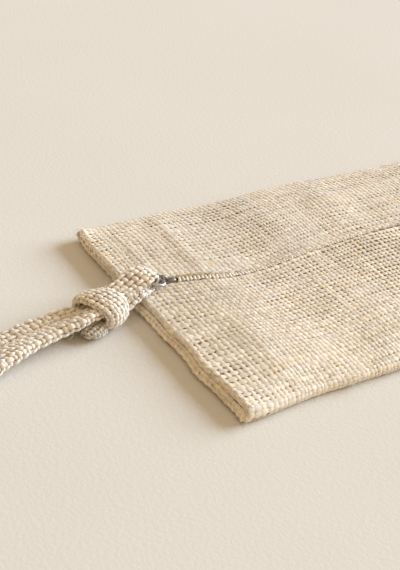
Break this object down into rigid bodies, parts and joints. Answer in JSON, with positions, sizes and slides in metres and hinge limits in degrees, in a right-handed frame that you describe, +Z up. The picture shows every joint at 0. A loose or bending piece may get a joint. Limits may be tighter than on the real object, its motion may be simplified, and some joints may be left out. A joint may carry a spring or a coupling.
{
  "type": "linen zip pouch with a knotted pull strap",
  "caption": "Small flat zip pouch of coarse plain-woven linen, lying closed on its back panel, with a knotted linen strap through the ring of its zip slider.",
  "frame": {"origin": "centre of the whole object's box, on the surface that the pouch and the strap lie on", "axes": "+X along the zip, from the strap's tails at -X to the closed pouch's far end; +Y from the front fold to the back fold; +Z up out of the surface"},
  "size_m": [0.3006, 0.131, 0.014],
  "materials": {
    "linen": "matte coarse natural linen, plain weave",
    "zip_tape": "matte beige woven tape with a beige coil",
    "slider_metal": "dark satin",
    "ring_metal": "satin steel wire",
    "strap_linen": "matte coarse greyish linen, plain weave"
  },
  "bodies": {
    "root": {"pouch_cloth": "linen", "zip_chain": "zip_tape", "zip_slider": "slider_metal", "pull_ring": "ring_metal", "strap": "strap_linen"}
  },
  "joints": []
}
